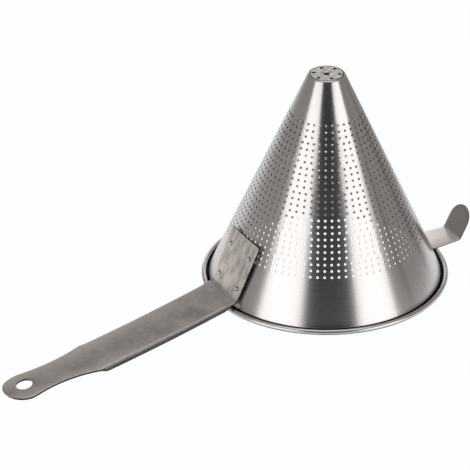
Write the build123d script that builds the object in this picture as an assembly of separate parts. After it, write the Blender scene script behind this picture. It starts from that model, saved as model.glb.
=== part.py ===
from build123d import *
from math import asin, atan, cos, degrees, radians, sin, sqrt, tan
import os

# Chinois strainer, standing on its open rim with the tip of the cone up. Millimetres.
# Z runs up the cone's axis, and Z = 0 is the underside of the rim.
# The handle points to -X and the pan hook to +X. The halves at +Y and -Y are alike.

# Cone and rim
RIM_R = 100.0  # outside of the curled bead
BEAD_R = 2.0  # of the bead's round section
BEAD_FLATS = 8  # flats of a full turn of the bead, few because the ring is long
BEAD_CURL = 7  # flats that the curl takes before it stops
GROOVE_W = 1.55  # between the wall and the bead
WALL_T = 0.8
FLARE_W = 0.9  # flat on which the wall turns out into the rim
CONE_H = 179.7
TIP_R = 14.6  # where the wall's outside would meet the tip's flat
TIP_FLAT_W = 0.6  # flat on which the wall turns in at the tip
LIP_W = 0.7  # turned in round the tip disc, inside that flat

# Perforation: rings of holes in groups, each with more holes per ring than the group above
HOLE_W = 1.83  # as wide and high as leaves the area of the real round hole
ROW_TOP_Z = 147.8
ROW_LOW_Z = 39.55
ROWS_IN_GROUP = (3, 4, 4, 4, 3, 4, 3)
TOP_RING_HOLES = 38
RING_STEP_HOLES = 8
ROWS_PER_DRAWN = 2  # one row in this many is drawn, which keeps the solid light
HOLES_PER_DRAWN = 4  # and one hole in this many along it

# Tip disc
DISC_GAP = 0.15  # to the lip round it
DIMPLE_R = 4.2
DIMPLE_D = 0.6
DISC_HOLE_R = 1.1
DISC_HOLES = 6
DISC_HOLE_SIDES = 8
DISC_RING_R = 10.2
DISC_PHASE = 22.7  # degrees from +X

# Handle
HANDLE_T = 1.5
SEAT_GAP = 0.1  # between the cone and what is riveted to it
PLATE_TOP_Z = 53.0
PLATE_TOP_HALF = 22.4
PLATE_CORNER_R = 3.0
ARM_HALF = 21.2
FOLD_Z = 9.5
BEND_R = 4.5  # of the upper face
ARM_SLOPE = 14.3  # degrees below level at the bend
ARM_R = 1780.0  # the arm curves up to level along this radius
ROOT_CROWN = 0.8  # height of the middle of the section over its edges
ARM_CROWN = 2.4
END_CROWN = 3.4
FLANGE_START_X = 103.5
FLANGE_END_X = 205.0
FLANGE_D = 3.6
FLANGE_ROUND_R = 2.2
NECK_HALF = 15.0
NECK_R = 100.0
HANG_X = 269.0
HANG_R = 6.5
END_R = 17.4

# Pan hook
HOOK_T = 1.0
HOOK_PLATE_H = 26.0
HOOK_HALF = 15.0
HOOK_BEND_R = 2.0
TAB_X = 120.5  # where the strap turns up into the tab
TAB_HALF = 12.8
TAB_LENGTH = 25.5
TAB_LEAN = 27.8  # degrees outward from upright

# Rivets, few-sided because they are small
RIVET_SIDES = 10
HEAD_TAPER = 40.0  # degrees
SHANK_R = 1.2
SHANK_FIT = 0.05  # between a shank and its holes
HEAD_R = 2.1
HEAD_H = 1.0
CLINCH_R = 2.0  # of the flat head inside the cone
CLINCH_H = 0.8
RIVET_MARGIN = 6.3  # from the handle's side edge
RIVET_UPPER_SHARE = 0.266  # of the way from the plate's top to the fold
RIVET_LOWER_SHARE = 0.8185
HOOK_RIVET_SPACING = 16.0
HOOK_RIVET_SHARE = 0.45  # of the hook plate's height, from its top

# Overrun of every cutting solid
OVER = 5.0


# The wall's outside runs straight from the foot of the cone to its tip
groove_r = RIM_R - 2 * BEAD_R - GROOVE_W
slope = (groove_r - TIP_R) / (CONE_H - BEAD_R)
foot_r = groove_r + slope * BEAD_R
half_angle = atan(slope)
down = Vector(sin(half_angle), 0, -cos(half_angle))
outward = Vector(cos(half_angle), 0, sin(half_angle))


def wall_point(z, off_wall):
    """Point at height z on the line that lies off_wall outside the wall, in the XZ plane."""
    return Vector(foot_r - slope * z + off_wall / cos(half_angle), 0, z)


def strip_plane(origin, direction):
    """Section plane of a strip: its x runs across, its y out of the upper face."""
    return Plane(origin=origin, x_dir=(0, 1, 0), z_dir=direction)


# The tip disc fits inside the lip
lip_r = TIP_R - TIP_FLAT_W - LIP_W


def shell_line():
    """Outer face of the shell in section, as flats from the lip to the end of the curl."""
    half_flat = radians(360 / BEAD_FLATS / 2)
    curl_r = (BEAD_R - WALL_T) / cos(half_flat)
    curl_turns = [half_flat * (2 * flat + 1) for flat in range(BEAD_CURL)]
    curl = [Vector(RIM_R - BEAD_R + curl_r * sin(turn), BEAD_R - curl_r * cos(turn)) for turn in curl_turns]
    wall = [
        Vector(lip_r, CONE_H),
        Vector(TIP_R - TIP_FLAT_W, CONE_H),
        Vector(wall_point(CONE_H - TIP_FLAT_W, 0).X, CONE_H - TIP_FLAT_W),
        Vector(wall_point(WALL_T + FLARE_W, 0).X, WALL_T + FLARE_W),
        Vector(wall_point(WALL_T, 0).X + FLARE_W, WALL_T),
    ]
    return wall + curl


def line_under(points, depth):
    """The line that lies depth under the faces of a line of flats, mitred at the corners."""
    runs = [(after - before).normalized() for before, after in zip(points, points[1:])]
    unders = [Vector(run.Y, -run.X) for run in runs]
    corners = [(one + two) / (1 + one.dot(two)) for one, two in zip(unders, unders[1:])]
    moves = [unders[0], *corners, unders[-1]]
    return [point + move * depth for point, move in zip(points, moves)]


def shell_profile():
    """Section of the shell: lip, wall, flare and curl, as one sheet of even thickness."""
    outer = shell_line()
    inner = line_under(outer, WALL_T)
    return make_face(Polyline(*outer, *reversed(inner), close=True))


def hole_punch(z):
    """Wedge that cuts one hole between two generators and two rings of the wall."""
    middle = wall_point(z, -WALL_T / 2)
    reach = outward * (WALL_T / 2 + OVER)
    rise = down * (HOLE_W / 2)
    corners = (middle + reach + rise, middle + reach - rise, middle - reach - rise, middle - reach + rise)
    side = Plane.XZ * make_face(Polyline(*[(corner.X, corner.Z) for corner in corners], close=True))
    width = degrees(HOLE_W / middle.X)
    return Rot(Z=-width / 2) * revolve(side, Axis.Z, width)


def perforation():
    """Punches for the rings of holes, from the top."""
    groups = [group for group, rows in enumerate(ROWS_IN_GROUP) for _ in range(rows)]
    pitch = (ROW_TOP_Z - ROW_LOW_Z) / (len(groups) - 1)
    for row in range(0, len(groups), ROWS_PER_DRAWN):
        punch = hole_punch(ROW_TOP_Z - pitch * row)
        holes = (TOP_RING_HOLES + RING_STEP_HOLES * groups[row]) // HOLES_PER_DRAWN
        for hole in range(holes):
            yield Rot(Z=360 / holes * (hole + 0.5)) * punch


def tip_disc():
    """Pressed disc that fills the lip: its edge steps down and seats under the lip."""
    disc_r = lip_r - DISC_GAP
    seat_r = lip_r + LIP_W / 2
    face = Plane.XZ * make_face(
        Polyline(
            (0, CONE_H - DIMPLE_D),
            (DIMPLE_R - DIMPLE_D, CONE_H - DIMPLE_D),
            (DIMPLE_R, CONE_H),
            (disc_r, CONE_H),
            (disc_r, CONE_H - WALL_T),
            (seat_r, CONE_H - WALL_T),
            (seat_r, CONE_H - 2 * WALL_T),
            (disc_r - WALL_T, CONE_H - 2 * WALL_T),
            (disc_r - WALL_T, CONE_H - WALL_T),
            (DIMPLE_R, CONE_H - WALL_T),
            (DIMPLE_R - DIMPLE_D, CONE_H - DIMPLE_D - WALL_T),
            (0, CONE_H - DIMPLE_D - WALL_T),
            close=True,
        )
    )
    drill = extrude(RegularPolygon(DISC_HOLE_R, DISC_HOLE_SIDES), OVER, both=True)
    ring = [Rot(Z=DISC_PHASE + 360 / DISC_HOLES * hole) * Pos(X=DISC_RING_R) for hole in range(DISC_HOLES)]
    return revolve(face, Axis.Z) - [Pos(Z=CONE_H) * place * drill for place in (Pos(), *ring)]


# The handle's upper face runs down the wall, turns at the fold and leaves along a wide arc
fold = wall_point(FOLD_Z, SEAT_GAP + HANDLE_T)
plate_top = wall_point(PLATE_TOP_Z, SEAT_GAP + HANDLE_T)
arm_turn = radians(90) - half_angle - radians(ARM_SLOPE)
arm_out = Vector(cos(radians(ARM_SLOPE)), 0, -sin(radians(ARM_SLOPE)))
bend_length = BEND_R * tan(arm_turn / 2)
bend_start = fold - down * bend_length
arm_start = fold + arm_out * bend_length


def arm_plane(x):
    """Section plane of the arm where its upper face is at x."""
    first = radians(ARM_SLOPE)
    here = asin(sin(first) - (x - arm_start.X) / ARM_R)
    z = arm_start.Z - ARM_R * (cos(here) - cos(first))
    return strip_plane((x, 0, z), (cos(here), 0, -sin(here)))


def crown_radius(crown):
    """Radius of a section's upper face that rises by crown over the arm's half width."""
    return (ARM_HALF**2 + crown**2) / (2 * crown)


def crowned_sheet(half, crown):
    """Section of crowned sheet, its upper face through the origin."""
    drop = crown_radius(crown) - sqrt(crown_radius(crown) ** 2 - half**2)
    upper = ThreePointArc((-half, -drop), (0, 0), (half, -drop))
    lower = ThreePointArc((half, -drop - HANDLE_T), (0, -HANDLE_T), (-half, -drop - HANDLE_T))
    return make_face([upper, Line(upper @ 1, lower @ 0), lower, Line(lower @ 1, upper @ 0)])


def channel_block(half, crown, under, depth, round_r):
    """Filled section of the channel, between its sides and down to depth under its edges."""
    drop = crown_radius(crown) - sqrt(crown_radius(crown) ** 2 - half**2)
    upper = ThreePointArc((-half, -drop - under), (0, -under), (half, -drop - under))
    right = Line(upper @ 1, (half, -drop - depth))
    base = Line(right @ 1, (-half, -drop - depth))
    block = make_face([upper, right, base, Line(base @ 1, upper @ 0)])
    corners = block.vertices().sort_by(Axis.Y)[2:]
    return fillet(corners, round_r)


def arm_outline():
    """Plan of the arm: straight sides, drawn in at the neck, round at the end."""
    neck_y = NECK_HALF + NECK_R
    neck_x = HANG_X - sqrt((NECK_R + END_R) ** 2 - neck_y**2)
    neck_start = (neck_x - sqrt(NECK_R**2 - (neck_y - ARM_HALF) ** 2), ARM_HALF)
    end_share = END_R / (NECK_R + END_R)
    neck_end = (HANG_X - (HANG_X - neck_x) * end_share, neck_y * end_share)
    root = (fold.X - OVER, ARM_HALF)
    side = Line(root, neck_start)
    neck = ThreePointArc(neck_start, (neck_x, NECK_HALF), neck_end)
    end = ThreePointArc(neck_end, (HANG_X + END_R, 0), (neck_end[0], -neck_end[1]))
    other = [edge.mirror(Plane.XZ) for edge in (side, neck)]
    return make_face([side, neck, end, *other, Line(root, (root[0], -root[1]))])


def plate():
    """Plate that lies along the cone's generator, wider at its top, with rounded corners."""
    length = (bend_start - plate_top).length
    blank = extrude(strip_plane(plate_top, down) * crowned_sheet(PLATE_TOP_HALF, ROOT_CROWN), length)
    outline = make_face(
        Polyline(
            (0, PLATE_TOP_HALF), (length, ARM_HALF), (length, -ARM_HALF), (0, -PLATE_TOP_HALF), close=True
        )
    )
    outline = fillet(outline.vertices().sort_by(Axis.X)[:2], PLATE_CORNER_R)
    face = Plane(origin=plate_top, x_dir=down, z_dir=outward)
    return blank & extrude(face * outline, 2 * OVER, both=True)


def bend():
    """Bend between the plate and the arm, its axis above the upper face."""
    section = strip_plane(bend_start, down) * crowned_sheet(ARM_HALF, ROOT_CROWN)
    centre = bend_start + outward * BEND_R
    return revolve(section, Axis(centre, (0, -1, 0)), degrees(arm_turn))


def arm():
    """Crowned arm: plain root, channel with turned-down sides, and blade with the hanging hole."""
    mid_x = (FLANGE_START_X + FLANGE_END_X) / 2
    mid_crown = (ROOT_CROWN + ARM_CROWN) / 2
    tip_x = HANG_X + END_R + OVER
    start = strip_plane(arm_start, arm_out)
    root = loft([start * crowned_sheet(ARM_HALF, ROOT_CROWN),
                 arm_plane(FLANGE_START_X) * crowned_sheet(ARM_HALF, ROOT_CROWN)])
    stations = ((FLANGE_START_X, ROOT_CROWN), (mid_x, mid_crown), (FLANGE_END_X, ARM_CROWN))
    outer = loft([arm_plane(x) * channel_block(ARM_HALF, crown, 0, FLANGE_D, FLANGE_ROUND_R)
                  for x, crown in stations])
    inner = loft([arm_plane(x) * channel_block(ARM_HALF - HANDLE_T, crown, HANDLE_T, FLANGE_D + OVER,
                                               FLANGE_ROUND_R - HANDLE_T)
                  for x, crown in stations])
    blade = loft([arm_plane(FLANGE_END_X) * crowned_sheet(ARM_HALF, ARM_CROWN),
                  arm_plane(HANG_X - END_R) * crowned_sheet(ARM_HALF, ARM_CROWN),
                  arm_plane(tip_x) * crowned_sheet(ARM_HALF, END_CROWN)])
    blank = root + (outer - inner) + blade
    return blank & extrude(arm_outline(), 2 * ARM_HALF + HANG_X, both=True)


def handle():
    """The handle in one sheet, pierced for its rivets and for hanging."""
    sheet = plate() + bend() + arm()
    hang = arm_plane(HANG_X)
    hole = Plane(origin=hang.origin, z_dir=hang.y_dir) * Cylinder(HANG_R, 2 * OVER)
    return sheet - [hole, *[place * rivet_drill() for place in handle_rivet_places()]]


def handle_rivet_places():
    """Frames on the plate's crowned upper face, z out of it, for two pairs of rivets."""
    radius = crown_radius(ROOT_CROWN)
    lean = degrees(asin((ARM_HALF - RIVET_MARGIN) / radius))
    for share in (RIVET_UPPER_SHARE, RIVET_LOWER_SHARE):
        face = Plane(origin=plate_top + (fold - plate_top) * share, x_dir=(0, 1, 0), z_dir=outward)
        for side in (-1, 1):
            yield face.location * Pos(Z=-radius) * Rot(Y=side * lean) * Pos(Z=radius)


# The pan hook: a plate up the wall, a level strap over the bead, and a tab with a round end
strap_top = 2 * BEAD_R + SEAT_GAP + HOOK_T
hook_low = wall_point(strap_top, SEAT_GAP + HOOK_T)
hook_top = hook_low - down * HOOK_PLATE_H
tab_low = Vector(TAB_X, 0, strap_top)
tab_up = Vector(sin(radians(TAB_LEAN)), 0, cos(radians(TAB_LEAN)))
tab_tip = tab_low + tab_up * TAB_LENGTH


def strip_side(under):
    """The hook's side view, as the line that lies under its upper face."""
    tab_turn = radians(90 - TAB_LEAN) / 2
    wall_turn = (radians(90) - half_angle) / 2
    plate_in = Vector(outward.X, outward.Z) * -under
    tab_in = Vector(cos(radians(TAB_LEAN)), -sin(radians(TAB_LEAN))) * under
    line = FilletPolyline(
        Vector(hook_top.X, hook_top.Z) + plate_in,
        (hook_low.X - under * tan(wall_turn), strap_top - under),
        (tab_low.X + under * tan(tab_turn), strap_top - under),
        Vector(tab_tip.X, tab_tip.Z) + tab_in,
        radius=HOOK_BEND_R + under,
    )
    return line.edges()


def hook():
    """The hook in one strip: bent twice, narrowing along the strap, round at the tab's end."""
    upper = strip_side(0)
    lower = strip_side(HOOK_T)
    ends = [Line(Wire(upper) @ end, Wire(lower) @ end) for end in (0, 1)]
    side = Plane.XZ * make_face([*upper, *lower, *ends])
    strip = extrude(side, HOOK_HALF, both=True)
    reach = tab_tip.X + OVER
    plan = make_face(
        Polyline(
            (hook_top.X - OVER, HOOK_HALF),
            (RIM_R, HOOK_HALF),
            (TAB_X, TAB_HALF),
            (reach, TAB_HALF),
            (reach, -TAB_HALF),
            (TAB_X, -TAB_HALF),
            (RIM_R, -HOOK_HALF),
            (hook_top.X - OVER, -HOOK_HALF),
            close=True,
        )
    )
    strip = strip & extrude(plan, 2 * HOOK_PLATE_H + TAB_LENGTH, both=True)
    round_at = Plane(origin=tab_tip - tab_up * TAB_HALF, x_dir=tab_up, z_dir=tab_up.cross(Vector(0, 1, 0)))
    corner = Pos(X=TAB_HALF) * Box(2 * TAB_HALF, 2 * HOOK_HALF, 2 * OVER) - Cylinder(TAB_HALF, 2 * OVER)
    strip = strip - round_at * corner
    return strip - [place * rivet_drill() for place in hook_rivet_places()]


def hook_rivet_places():
    """Frames on the hook plate's upper face, z out of it, for its pair of rivets."""
    middle = hook_top + (hook_low - hook_top) * HOOK_RIVET_SHARE
    face = Plane(origin=middle, x_dir=(0, 1, 0), z_dir=outward)
    for side in (-1, 1):
        yield face.location * Pos(X=side * HOOK_RIVET_SPACING / 2)


# Rivets stand on the upper face of a plate and reach through the wall
def rivet_drill():
    """Drill for one rivet's holes."""
    return extrude(RegularPolygon(SHANK_R + SHANK_FIT, RIVET_SIDES), 2 * OVER, both=True)


def cone_inside():
    """Solid that fills the cone up to the wall's inner face, as high as the plates reach."""
    low = wall_point(0, -WALL_T)
    high = wall_point(PLATE_TOP_Z, -WALL_T)
    return Cone(low.X, high.X, PLATE_TOP_Z, align=(Align.CENTER, Align.CENTER, Align.MIN))


def rivet(place, sheet_t):
    """Rivet with a raised head outside and a flat head that fits the cone's curved inside."""
    wall_r = wall_point(place.position.Z, -WALL_T).X / cos(half_angle)
    edge = abs(place.position.Y) + CLINCH_R
    reach = sheet_t + SEAT_GAP + WALL_T + wall_r - sqrt(wall_r**2 - edge**2) + CLINCH_H
    head = extrude(RegularPolygon(HEAD_R, RIVET_SIDES), HEAD_H, taper=HEAD_TAPER)
    shank = extrude(RegularPolygon(SHANK_R, RIVET_SIDES), -reach)
    clinch = place * extrude(RegularPolygon(CLINCH_R, RIVET_SIDES), -reach) & cone_inside()
    return place * (head + shank) + clinch


def cone_shell():
    """The cone with its rim, open at the tip for the disc and pierced for the rivets."""
    shell = revolve(Plane.XZ * shell_profile(), Axis.Z)
    drilled = [*[Rot(Z=180) * place for place in handle_rivet_places()], *hook_rivet_places()]
    clear = HEAD_R + HOLE_W
    punches = [
        punch
        for punch in perforation()
        if min((punch.center() - place.position).length for place in drilled) > clear
    ]
    return shell - [*punches, *[place * rivet_drill() for place in drilled]]


# The handle and its rivets are drawn towards +X and turned to -X
to_handle_side = Rot(Z=180)
parts = {
    "cone_shell": cone_shell(),
    "tip_disc": tip_disc(),
    "handle": to_handle_side * handle(),
    "pan_hook": hook(),
}
for number, place in enumerate(handle_rivet_places(), 1):
    parts[f"handle_rivet_{number}"] = to_handle_side * rivet(place, HANDLE_T)
for number, place in enumerate(hook_rivet_places(), 1):
    parts[f"hook_rivet_{number}"] = rivet(place, HOOK_T)

os.makedirs("parts", exist_ok=True)
for node, part in parts.items():
    export_step(part, f"parts/{node}.step")
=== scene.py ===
import bmesh
import bpy
import numpy as np
from mathutils import Euler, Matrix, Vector


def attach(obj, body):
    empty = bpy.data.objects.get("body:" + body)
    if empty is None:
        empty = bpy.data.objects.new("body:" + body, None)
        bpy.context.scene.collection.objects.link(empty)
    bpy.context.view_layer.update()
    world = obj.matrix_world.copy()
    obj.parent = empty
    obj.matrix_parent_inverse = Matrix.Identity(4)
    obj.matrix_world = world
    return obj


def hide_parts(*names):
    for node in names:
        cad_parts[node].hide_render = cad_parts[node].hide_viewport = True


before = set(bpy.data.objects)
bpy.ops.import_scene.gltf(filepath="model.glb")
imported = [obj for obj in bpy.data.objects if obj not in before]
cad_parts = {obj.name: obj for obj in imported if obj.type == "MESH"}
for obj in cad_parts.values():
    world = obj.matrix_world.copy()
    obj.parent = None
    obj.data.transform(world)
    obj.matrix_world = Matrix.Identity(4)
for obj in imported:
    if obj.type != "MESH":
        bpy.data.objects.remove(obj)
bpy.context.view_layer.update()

# The cone is one sheet of 18/10 stainless steel, rolled, seam-welded and punched in rings.
# Its foot turns out into a narrow flange that is curled up into a bead, and its tip is
# turned in to a lip. The rings stand in seven groups, each with eight more holes a ring.
mm = 0.001
WALL_T = 0.8 * mm
CONE_H = 179.7 * mm
FOOT_R = 95.349 * mm
SLOPE = 0.44935
HALF_ANGLE = np.arctan(SLOPE)
BEAD_R = 2 * mm
BEAD_CENTRE_R = 98 * mm
CURL_END = np.radians(285)
FLARE_ROUND = 0.9 * mm
SHADED_FOOT_Z = 3.1 * mm
SHOULDER_ROUND = 1.9 * mm
LIP_R = 13.32 * mm
HOLE_R = 1.05 * mm
ROWS_IN_GROUP = np.array([3, 4, 4, 4, 3, 4, 3])
HOLES_IN_RING = 38 + 8 * np.arange(7)
ROW_TOP_Z = 147.8 * mm
ROW_LOW_Z = 39.55 * mm
GROUP_GAP = 0.3 * mm
COLUMN_AZIMUTH = np.radians(-119.8)
HOLE_SIDES = 16
OCTANT = np.tan(np.pi / 8)
LIP_CORNER = 0.04 * mm
LIP_DROP = 0.12 * mm
WELD = 0.002 * mm
SLIVER = 0.0001 * mm


def wall_radius(z, depth=0):
    """Radius at height z of the cone that lies depth under the wall's outside."""
    return FOOT_R - SLOPE * z - depth / np.cos(HALF_ANGLE)


def on_cone(azimuth, z, depth=0):
    """Point square under the wall's outside at that azimuth and height, by depth."""
    radius = wall_radius(z) - depth * np.cos(HALF_ANGLE)
    height = z - depth * np.sin(HALF_ANGLE)
    return np.stack([radius * np.cos(azimuth), radius * np.sin(azimuth), height + 0 * azimuth], -1)


def rounded(corners, radii, steps=7):
    """Line through corners with each inner one replaced by an arc: the arc starts at
    radius x tan(half the turn) before the corner and turns evenly to the same place after it."""
    corners = np.asarray(corners, float)
    radii = np.broadcast_to(radii, len(corners) - 2)[:, None]
    runs = np.diff(corners, axis=0)
    runs /= np.linalg.norm(runs, axis=1)[:, None]
    into, out = runs[:-1], runs[1:]
    turn = np.arctan2(into[:, 0] * out[:, 1] - into[:, 1] * out[:, 0], (into * out).sum(1))[:, None]
    side = np.sign(turn) * np.stack([-into[:, 1], into[:, 0]], -1)
    start = corners[1:-1] - into * radii * np.tan(abs(turn) / 2)
    swing = abs(turn) * np.linspace(0, 1, steps)
    arcs = (start + side * radii)[:, None] - (
        side[:, None] * np.cos(swing)[..., None] - into[:, None] * np.sin(swing)[..., None]
    ) * radii[..., None]
    return np.vstack([corners[:1], arcs.reshape(-1, 2), corners[-1:]])


def beside(line, depth):
    """Line that lies depth to the right of a line, moved out at each point by the mean of
    the normals of its two runs over the square of that mean."""
    runs = np.diff(line, axis=0)
    runs /= np.linalg.norm(runs, axis=1)[:, None]
    rights = np.stack([runs[:, 1], -runs[:, 0]], -1)
    means = np.vstack([rights[:1], (rights[:-1] + rights[1:]) / 2, rights[-1:]])
    return line + depth * means / (means**2).sum(1)[:, None]


def grid_faces(rows, columns, closed=False):
    """Quads of a grid of points numbered row by row, joined round the ends if closed."""
    index = np.arange(rows * columns).reshape(rows, columns)
    if closed:
        index = np.hstack([index, index[:, :1]])
    return np.stack([index[:-1, :-1], index[:-1, 1:], index[1:, 1:], index[1:, :-1]], -1).reshape(-1, 4)


def sheet_metal(name, patches, sharp=40):
    """One closed surface from patches of (points, faces): joined, its normals turned out,
    smooth but for edges that turn by more than sharp degrees."""
    points, faces, count = [], [], 0
    for patch_points, patch_faces in patches:
        patch_points = np.asarray(patch_points).reshape(-1, 3)
        points.append(patch_points)
        faces += (np.asarray(patch_faces) + count).tolist()
        count += len(patch_points)
    mesh = bpy.data.meshes.new(name)
    mesh.from_pydata(np.vstack(points).tolist(), [], faces)
    work = bmesh.new()
    work.from_mesh(mesh)
    bmesh.ops.remove_doubles(work, verts=work.verts, dist=WELD)
    bmesh.ops.dissolve_degenerate(work, edges=work.edges, dist=SLIVER)
    bmesh.ops.recalc_face_normals(work, faces=work.faces)
    work.to_mesh(mesh)
    work.free()
    mesh.shade_smooth()
    mesh.set_sharp_from_angle(angle=np.radians(sharp))
    piece = bpy.data.objects.new(name, mesh)
    bpy.context.scene.collection.objects.link(piece)
    return piece


def finish_piece(piece, material, slot, *nodes):
    """The piece rides on the one body, stands for its nodes and wears its material."""
    piece.data.materials.append(material)
    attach(piece, "root")
    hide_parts(*nodes)


def linear(hex_colour):
    """sRGB hex to linear RGBA."""
    share = np.array([int(hex_colour[at:at + 2], 16) for at in (1, 3, 5)]) / 255
    return (*np.where(share <= 0.04045, share / 12.92, ((share + 0.055) / 1.055) ** 2.4), 1)


def add_node(material, kind, inputs=None, **settings):
    """One node with its settings; an input is a value or the output that feeds it."""
    node = material.node_tree.nodes.new(kind)
    for setting, value in settings.items():
        setattr(node, setting, value)
    for socket, value in (inputs or {}).items():
        if isinstance(value, bpy.types.NodeSocket):
            material.node_tree.links.new(value, node.inputs[socket])
        else:
            node.inputs[socket].default_value = value
    return node


def new_material(name):
    """A material with an empty node tree."""
    material = bpy.data.materials.new(name)
    material.use_nodes = True
    material.node_tree.nodes.clear()
    return material


def noise(material, place, scale, detail):
    """Cloudy noise about a half; its features are about one over scale long."""
    return add_node(material, "ShaderNodeTexNoise",
                    {"Vector": place, "Scale": scale, "Detail": detail}).outputs["Fac"]


def ranged(material, value, low, high, to_low, to_high):
    """A value carried from one range to another and held at its ends."""
    return add_node(material, "ShaderNodeMapRange",
                    {"Value": value, "From Min": low, "From Max": high,
                     "To Min": to_low, "To Max": to_high}).outputs[0]


def shaded(material, hex_colour, tone):
    """The colour times a tone."""
    return add_node(material, "ShaderNodeVectorMath", {0: linear(hex_colour)[:3], "Scale": tone},
                    operation="SCALE").outputs[0]


def punched(azimuths, half_widths, heights, ups, downs):
    """Cells of the wall with a round hole in each: the hole's ring and the cell's edge have
    the same turns, and the edge's points are the circle's, pushed out to a square."""
    turn = np.arange(HOLE_SIDES) * 2 * np.pi / HOLE_SIDES
    circle = np.stack([np.cos(turn), np.sin(turn)], -1)
    square = circle / abs(circle).max(1)[:, None]
    radius = wall_radius(heights)[:, None]
    hole_turn = azimuths[:, None] + HOLE_R * circle[:, 0] / radius
    hole_z = heights[:, None] + HOLE_R * circle[:, 1] * np.cos(HALF_ANGLE)
    cell_turn = azimuths[:, None] + half_widths[:, None] * square[:, 0]
    reach = np.where(square[:, 1] > 0, ups[:, None], downs[:, None])
    cell_z = heights[:, None] + reach * square[:, 1]
    rings = [on_cone(cell_turn, cell_z), on_cone(hole_turn, hole_z),
             on_cone(hole_turn, hole_z, WALL_T), on_cone(cell_turn, cell_z, WALL_T)]
    cells = np.stack(rings, 1)
    faces = grid_faces(4, HOLE_SIDES, closed=True)
    starts = np.arange(len(azimuths)) * 4 * HOLE_SIDES
    return cells, (starts[:, None, None] + faces).reshape(-1, 4)


def ring_turns(holes):
    """Azimuths of the cells' edge points round one ring."""
    steps = np.array([-1, -OCTANT, 0, OCTANT]) * np.pi / holes
    return (COLUMN_AZIMUTH + 2 * np.pi * np.arange(holes)[:, None] / holes + steps).ravel()


def zipped(turns_a, z_a, turns_b, z_b, depth):
    """Triangles between two rings with unlike numbers of points: each edge of one ring is
    joined to the point of the other that the middles of the edges before it lead up to."""
    a, b = len(turns_a), len(turns_b)
    mid_a = turns_a + np.diff(np.append(turns_a, turns_a[0] + 2 * np.pi)) / 2
    mid_b = turns_b + np.diff(np.append(turns_b, turns_b[0] + 2 * np.pi)) / 2
    apex_b = np.searchsorted(mid_b, mid_a) % b
    apex_a = np.searchsorted(mid_a, mid_b) % a
    from_a = np.stack([np.arange(a), (np.arange(a) + 1) % a, a + apex_b], -1)
    from_b = np.stack([a + (np.arange(b) + 1) % b, a + np.arange(b), apex_a], -1)
    points = np.vstack([on_cone(turns_a, z_a, depth), on_cone(turns_b, z_b, depth)])
    return points, np.vstack([from_a, from_b])


def turned(profile, turns):
    """Profile of (radius, height) points carried round the axis."""
    radius, height = profile[:, 0, None], profile[:, 1, None]
    points = np.stack([radius * np.cos(turns), radius * np.sin(turns), height + 0 * turns], -1)
    return points, grid_faces(len(profile), len(turns), closed=True)


rows = ROWS_IN_GROUP.sum()
pitch = (ROW_TOP_Z - ROW_LOW_Z) / (rows - 1)
row_z = ROW_TOP_Z - pitch * np.arange(rows)
row_holes = np.repeat(HOLES_IN_RING, ROWS_IN_GROUP)
group_ends = np.cumsum(ROWS_IN_GROUP)[:-1]
row_up = np.full(rows, pitch / 2)
row_down = np.full(rows, pitch / 2)
row_up[group_ends] -= GROUP_GAP
row_down[group_ends - 1] -= GROUP_GAP
hole_row = np.repeat(np.arange(rows), row_holes)
hole_in_row = np.arange(len(hole_row)) - np.repeat(np.cumsum(row_holes) - row_holes, row_holes)
wall = [punched(COLUMN_AZIMUTH + 2 * np.pi * hole_in_row / row_holes[hole_row],
                np.pi / row_holes[hole_row], row_z[hole_row], row_up[hole_row], row_down[hole_row])]
for end in group_ends:
    above, below = ring_turns(row_holes[end - 1]), ring_turns(row_holes[end])
    z_above, z_below = row_z[end - 1] - row_down[end - 1], row_z[end] + row_up[end]
    wall += [zipped(above, z_above, below, z_below, depth) for depth in (0, WALL_T)]


def folded_sheet(line, depth):
    """A line of (radius, height) points and, back along it, the line depth beside it."""
    return np.vstack([line, beside(line, depth)[::-1]])


top_z = row_z[0] + row_up[0]
low_z = row_z[-1] - row_down[-1]
tip_line = rounded([(wall_radius(top_z), top_z), (wall_radius(CONE_H), CONE_H), (LIP_R, CONE_H)],
                   SHOULDER_ROUND, 8)
lip_corner = [(LIP_R + LIP_CORNER, CONE_H - LIP_CORNER), (LIP_R, CONE_H - LIP_DROP)]
tip_line = np.vstack([tip_line[:-1], lip_corner])
curl_turn = np.linspace(0, CURL_END, 16)
curl_r = BEAD_R - WALL_T
curl = np.stack([BEAD_CENTRE_R + curl_r * np.sin(curl_turn), BEAD_R - curl_r * np.cos(curl_turn)], -1)
foot_line = rounded([(wall_radius(SHADED_FOOT_Z), SHADED_FOOT_Z), (wall_radius(WALL_T), WALL_T), curl[0]], FLARE_ROUND, 5)
foot_line = np.vstack([[(wall_radius(low_z), low_z)], foot_line[:-1], curl])
wall.append(turned(folded_sheet(tip_line, -WALL_T), ring_turns(row_holes[0])))
wall.append(turned(folded_sheet(foot_line, WALL_T), ring_turns(row_holes[-1])))
cone = sheet_metal("cone_wall_and_rim", wall)

# Brushed stainless steel: turned against a belt, so the scratches run round the cone and a
# highlight is drawn out along it, with sharp sides. They are drawn 0.7 mm wide, coarser
# than the real grit, so that they show.
cone_steel = new_material("Stainless steel, brushed round the cone")
place = add_node(cone_steel, "ShaderNodeTexCoord").outputs["Object"]
round_place = add_node(cone_steel, "ShaderNodeVectorMath",
                       {0: add_node(cone_steel, "ShaderNodeVectorMath", {0: place, 1: (1, 1, 0)},
                                    operation="MULTIPLY").outputs[0]}, operation="NORMALIZE").outputs[0]
along = add_node(cone_steel, "ShaderNodeVectorMath", {0: place, 1: (0, 0, 1 / (0.7 * mm))},
                 operation="MULTIPLY").outputs[0]
brush_place = add_node(cone_steel, "ShaderNodeVectorMath", {0: round_place, 1: (3, 3, 3), 2: along},
                       operation="MULTIPLY_ADD").outputs[0]
brush = noise(cone_steel, brush_place, 1, 3)
streak = noise(cone_steel, round_place, 6, 2)
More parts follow.
